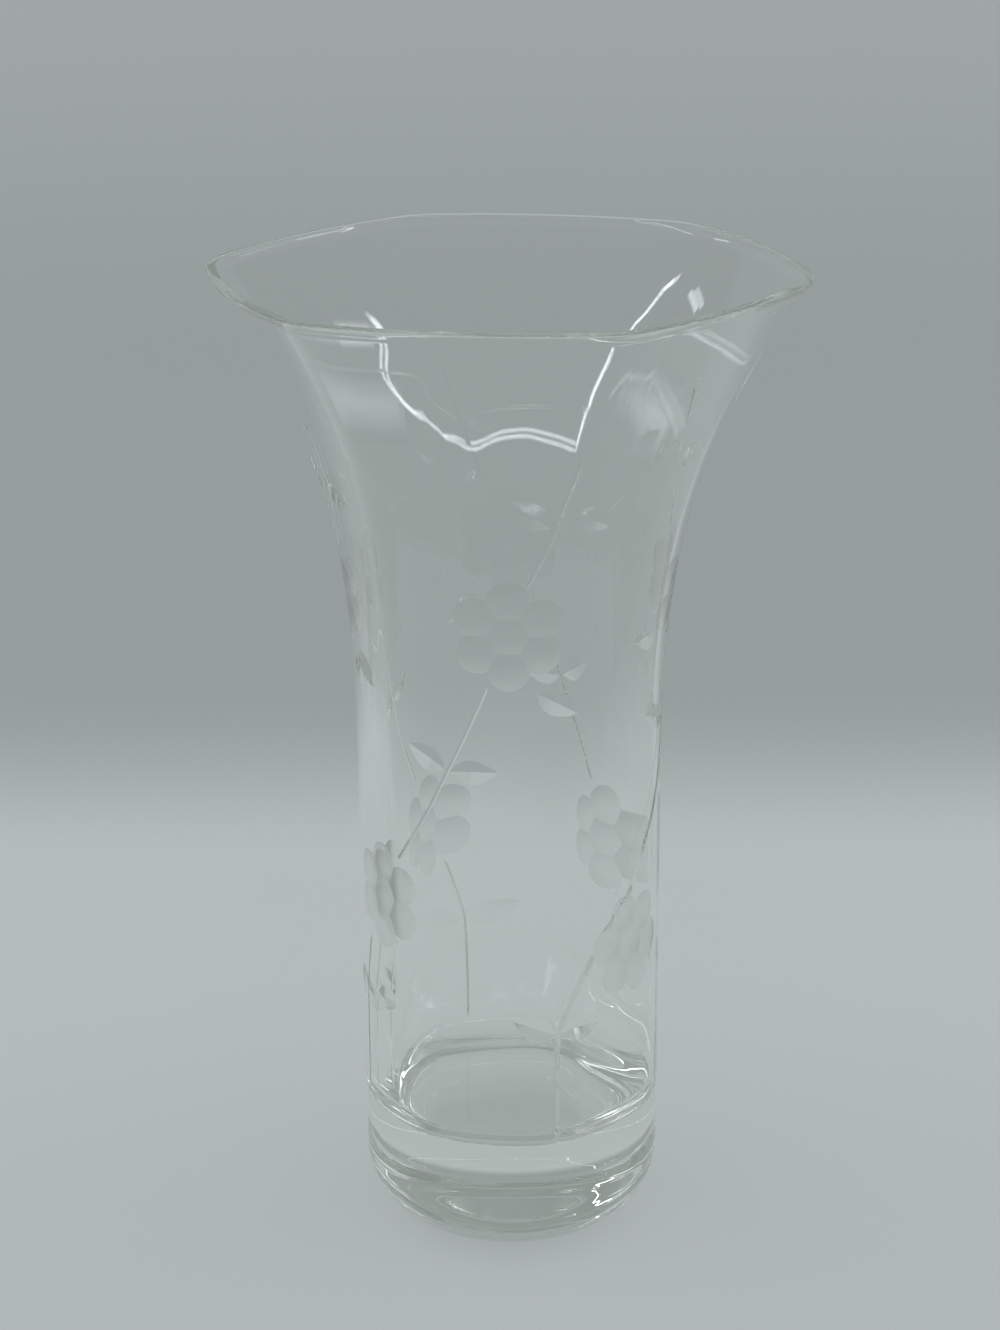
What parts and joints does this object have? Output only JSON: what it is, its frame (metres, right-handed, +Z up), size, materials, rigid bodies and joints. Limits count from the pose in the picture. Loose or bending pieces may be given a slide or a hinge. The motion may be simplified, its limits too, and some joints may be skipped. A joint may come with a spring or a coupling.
{
  "type": "trumpet vase",
  "caption": "Tall clear glass flower vase with a heavy round base and a six-panelled body that flares into a wide trumpet mouth.",
  "frame": {"origin": "middle of the flat underside that the vase rests on", "axes": "+Z up along the vase's axis, +X towards one corner of the six-sided rim"},
  "size_m": [0.1472, 0.1394, 0.25],
  "materials": {
    "clear_glass": "polished"
  },
  "bodies": {
    "root": {"solid_base": "clear_glass", "round_body": "clear_glass", "flared_mouth": "clear_glass"}
  },
  "joints": []
}
